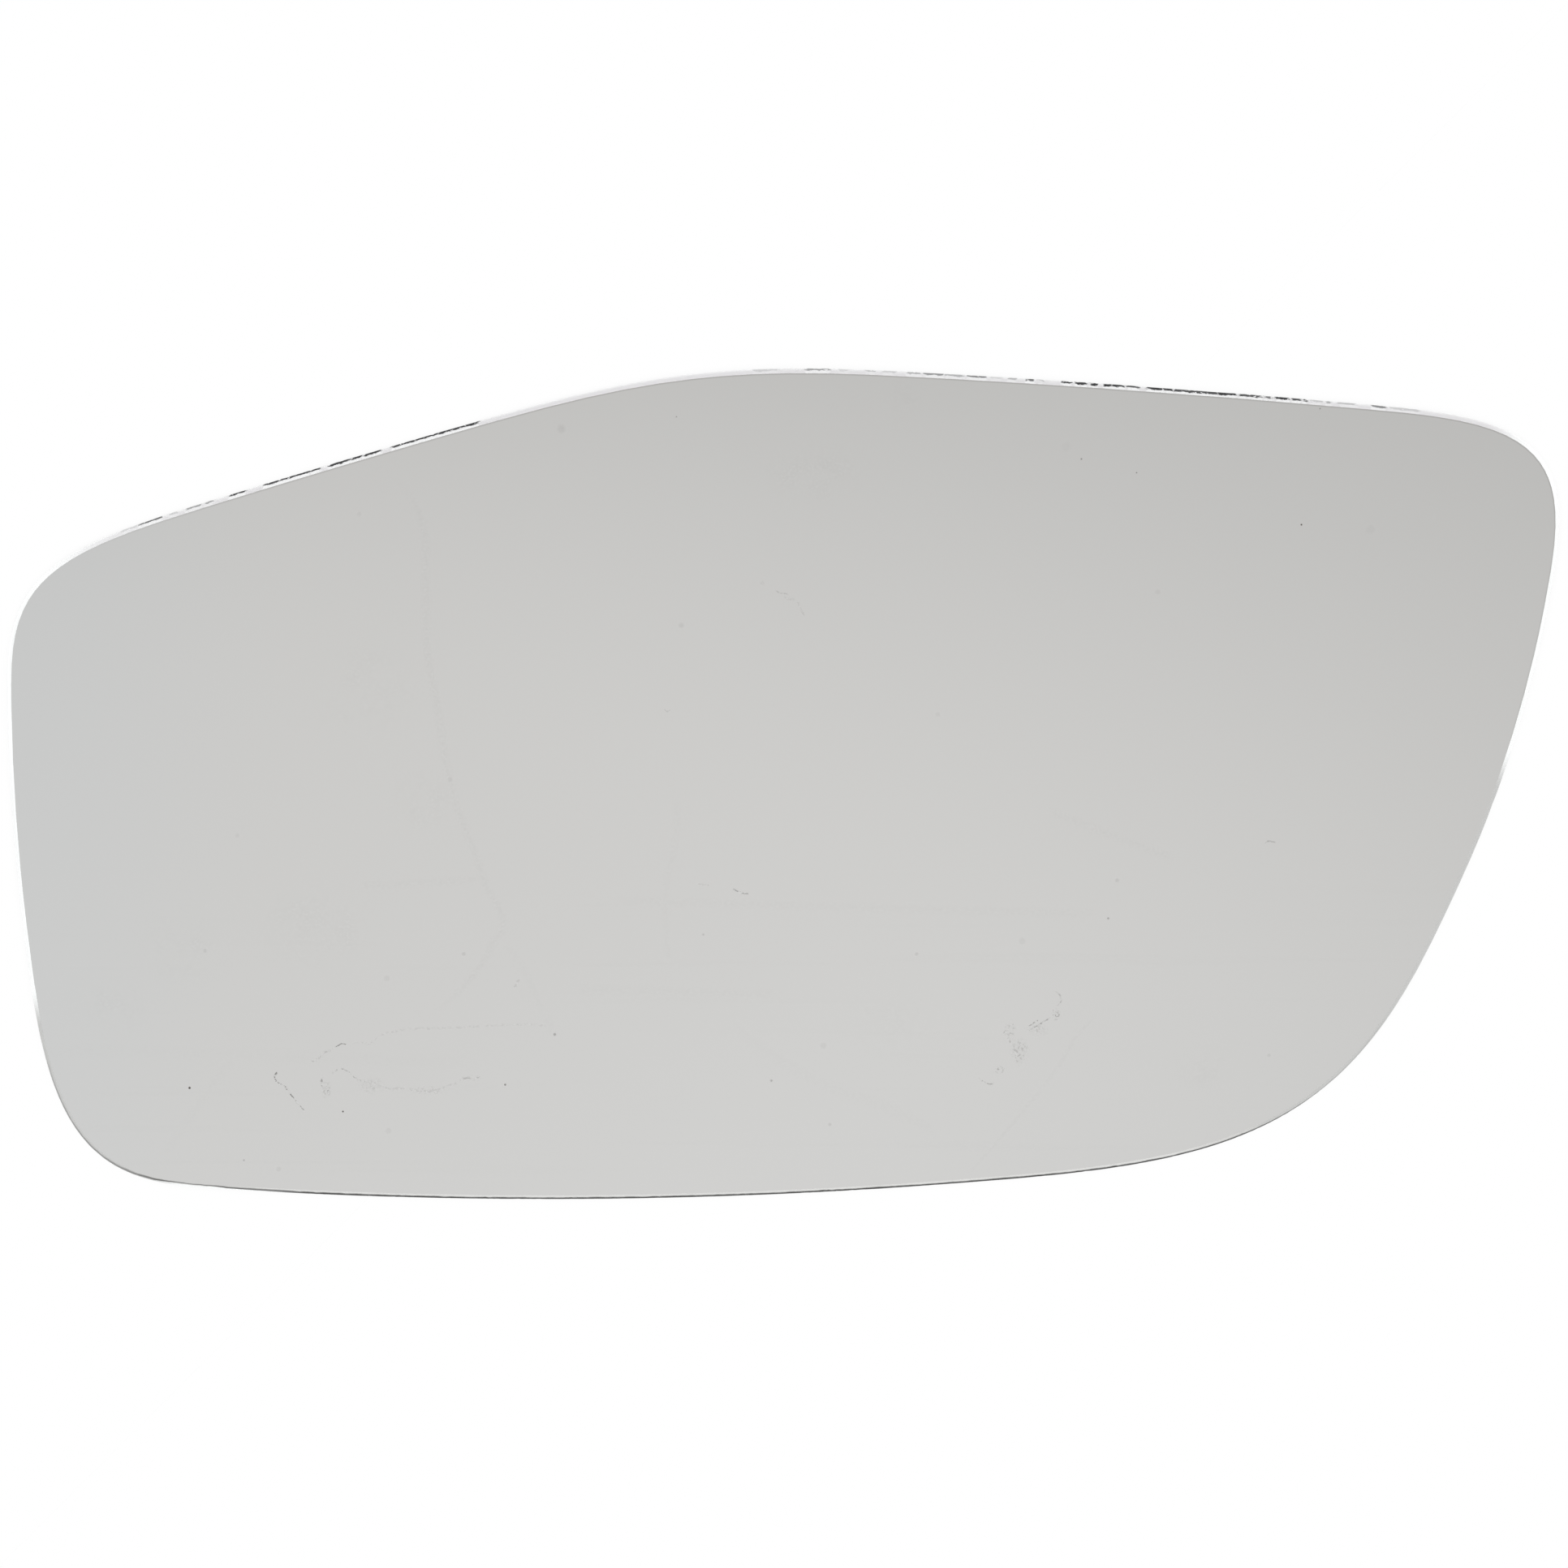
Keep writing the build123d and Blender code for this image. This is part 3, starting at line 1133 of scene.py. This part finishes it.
@dataclass
class Studio:
    """White floor, soft ceiling card, soft side lamps and white surroundings; metres and degrees."""

    floor_size: float = 8.0
    floor_drop: float = 0.05 * MILLIMETRE
    floor_tone: Colour = (0.85, 0.85, 0.85, 1.0)
    see_through: float = 0.12 * MILLIMETRE
    shade_reach: float = 3.0 * MILLIMETRE
    shade_samples: int = 8
    shade_course: Course = ((0.0, 0.35), (0.3, 0.75), (0.5, 0.96), (0.7, 1.0))
    card_size: float = 3.0
    card_height: float = 1.5
    card_middle: Point = (-0.1954, -0.1942)
    card_reach: Point = (0.7778, 0.4193)
    card_core: float = 0.2423
    card_bright: float = 0.9961
    card_dark: float = 0.75
    card_lift_across: Course = ((-0.07, -0.009), (0.46, 0.058))
    card_lift_up: Course = ((-0.07, 0.0187), (0.22, -0.0588))
    card_lift_end: Point = (1.0, 1.9)
    card_cool: Colour = (0.985, 1.0, 1.015, 1.0)
    card_cool_left: Point = (0.035, -0.08)
    card_cool_low: Point = (0.12, -0.1)
    card_cool_low_share: float = 0.35
    world_level: float = 0.8
    mirrored_course: Course = ((0.0, 1.02), (0.12, 1.0), (0.3, 0.85), (0.56, 0.56), (0.7, 0.75))
    lamp_bearings: tuple[float, ...] = (0.0, 90.0, 180.0, 270.0)
    lamp_height: float = 20.0
    lamp_distance: float = 1.0
    lamp_size: float = 0.5
    lamp_power: float = 2.3

    def build(self) -> None:
        """Set up the floor, the card, the lamps and the surroundings."""
        bpy.context.scene.view_settings.view_transform = "Standard"
        self._floor()
        self._card()
        self._lamps()
        self._surroundings()

    def _plane(self, name: str, size: float, location: Triple, finish: str) -> Wiring:
        """Add a level square that isn't part of the object, with an empty material.

        Args:
            name: its name.
            size: the length of its sides.
            location: its middle.
            finish: the material's name.

        Returns:
            The material's wiring.
        """
        bpy.ops.object.select_all(action="DESELECT")
        bpy.ops.mesh.primitive_plane_add(size=size, location=location)
        plane = bpy.context.active_object
        plane.name = name
        material = bpy.data.materials.new(finish)
        material.use_nodes = True
        material.node_tree.nodes.clear()
        plane.data.materials.append(material)
        return Wiring(material.node_tree)

    def _floor(self) -> None:
        """Lay the white floor, which darkens where the glass stands and can be seen through from below."""
        wiring = self._plane("floor", self.floor_size, (0.0, 0.0, -self.floor_drop), "white_floor")
        rays = wiring.add("ShaderNodeLightPath").outputs
        seen_by = (rays[f"Is {kind} Ray"] for kind in ("Camera", "Glossy", "Transmission"))
        looking = wiring.combine("MAXIMUM", *seen_by)
        gap = wiring.add("ShaderNodeAmbientOcclusion", samples=self.shade_samples)
        wiring.fill(gap, Distance=self.shade_reach)
        white = wiring.add("ShaderNodeEmission", WHITE, wiring.curve(gap.outputs["AO"], self.shade_course))
        matt = wiring.add("ShaderNodeBsdfDiffuse", self.floor_tone)
        shown = wiring.add("ShaderNodeMixShader", looking, matt.outputs[0], white.outputs[0])
        below = wiring.add("ShaderNodeNewGeometry").outputs["Backfacing"]
        close = wiring.math("LESS_THAN", rays["Ray Length"], self.see_through)
        through = wiring.math("MAXIMUM", below, close)
        clear = wiring.add("ShaderNodeBsdfTransparent")
        whole = wiring.add("ShaderNodeMixShader", through, shown.outputs[0], clear.outputs[0])
        wiring.add("ShaderNodeOutputMaterial", whole.outputs[0])

    def _card(self) -> None:
        """Hang the soft card that the mirror face shows, bright in its middle and duller towards its rim."""
        middle = (*self.card_middle, self.card_height)
        wiring = self._plane("ceiling_card", self.card_size, middle, "soft_card")
        place = wiring.add("ShaderNodeTexCoord").outputs["Object"]
        spread = (1.0 / self.card_reach[0], 1.0 / self.card_reach[1], 0.0)
        out = wiring.distance(wiring.vector("MULTIPLY", place, spread), ORIGIN)
        level = wiring.fade(out, self.card_core, 1.0, self.card_bright, self.card_dark)
        inner = wiring.fade(out, *self.card_lift_end, 1.0, 0.0)
        across, up, _ = wiring.split(place)
        for where, lift in ((across, self.card_lift_across), (up, self.card_lift_up)):
            level = wiring.math("MULTIPLY_ADD", inner, wiring.curve(where, lift), level)
        left = wiring.fade(across, *self.card_cool_left)
        low = wiring.fade(up, *self.card_cool_low, 0.0, self.card_cool_low_share)
        tint = wiring.blend(wiring.math("MAXIMUM", left, low), WHITE, self.card_cool)
        glow = wiring.add("ShaderNodeEmission", tint, level)
        wiring.add("ShaderNodeOutputMaterial", glow.outputs[0])

    def _lamps(self) -> None:
        """Set a soft lamp low on each of the four sides."""
        height = math.radians(self.lamp_height)
        for bearing in self.lamp_bearings:
            turn = math.radians(bearing)
            light = bpy.data.lights.new("side_lamp", "AREA")
            light.size = self.lamp_size
            light.energy = self.lamp_power
            lamp = bpy.data.objects.new("side_lamp", light)
            lamp.location = (
                self.lamp_distance * math.cos(height) * math.cos(turn),
                self.lamp_distance * math.cos(height) * math.sin(turn),
                self.lamp_distance * math.sin(height),
            )
            lamp.rotation_euler = lamp.location.to_track_quat("Z", "Y").to_euler()
            lamp.visible_glossy = False
            lamp.visible_camera = False
            bpy.context.scene.collection.objects.link(lamp)

    def _surroundings(self) -> None:
        """Surround the set with plain white light, duller above the horizon where a mirror shows it."""
        world = bpy.data.worlds.new("white_studio")
        world.use_nodes = True
        bpy.context.scene.world = world
        wiring = Wiring(world.node_tree)
        _, _, rise = wiring.split(wiring.add("ShaderNodeTexCoord").outputs["Generated"])
        rays = wiring.add("ShaderNodeLightPath").outputs
        mirrored = wiring.math("MAXIMUM", rays["Is Glossy Ray"], rays["Is Transmission Ray"])
        shown = wiring.curve(rise, self.mirrored_course)
        lit = wiring.fade(mirrored, 0.0, 1.0, self.world_level, shown)
        level = wiring.fade(rays["Is Camera Ray"], 0.0, 1.0, lit, 1.0)
        wiring.fill(world.node_tree.nodes["Background"], Color=WHITE, Strength=level)


@dataclass
class PhotoCamera:
    """The camera, almost square on to the mirror face; metres and degrees, with the lens in millimetres."""

    lens: float = 150.0
    sensor: float = 36.0
    distance: float = 0.78364
    tilt: float = 4.5
    aim: Triple = (0.000174, 0.000309, 0.002)

    def build(self) -> bpy.types.Object:
        """Set up the camera.

        Returns:
            The camera's object.
        """
        data = bpy.data.cameras.new("camera")
        data.lens = self.lens
        data.sensor_width = self.sensor
        camera = bpy.data.objects.new("camera", data)
        tilt = math.radians(self.tilt)
        camera.location = (
            self.aim[0],
            self.aim[1] + self.distance * math.sin(tilt),
            self.aim[2] + self.distance * math.cos(tilt),
        )
        camera.rotation_euler = (-tilt, 0.0, 0.0)
        bpy.context.scene.collection.objects.link(camera)
        bpy.context.scene.camera = camera
        return camera


def main() -> None:
    """Build the camera, the studio and the sheet of glass, and report each."""
    logging.basicConfig(level=logging.INFO, format="%(message)s")
    camera = PhotoCamera().build()
    log.info("%s: %.0f mm lens", camera.name, camera.data.lens)
    Studio().build()
    log.info("studio: floor, card, lamps and surroundings")
    sheet = GlassSheet().build()
    log.info("%s: %d faces", sheet.name, len(sheet.data.polygons))


if __name__ == "__main__":
    main()
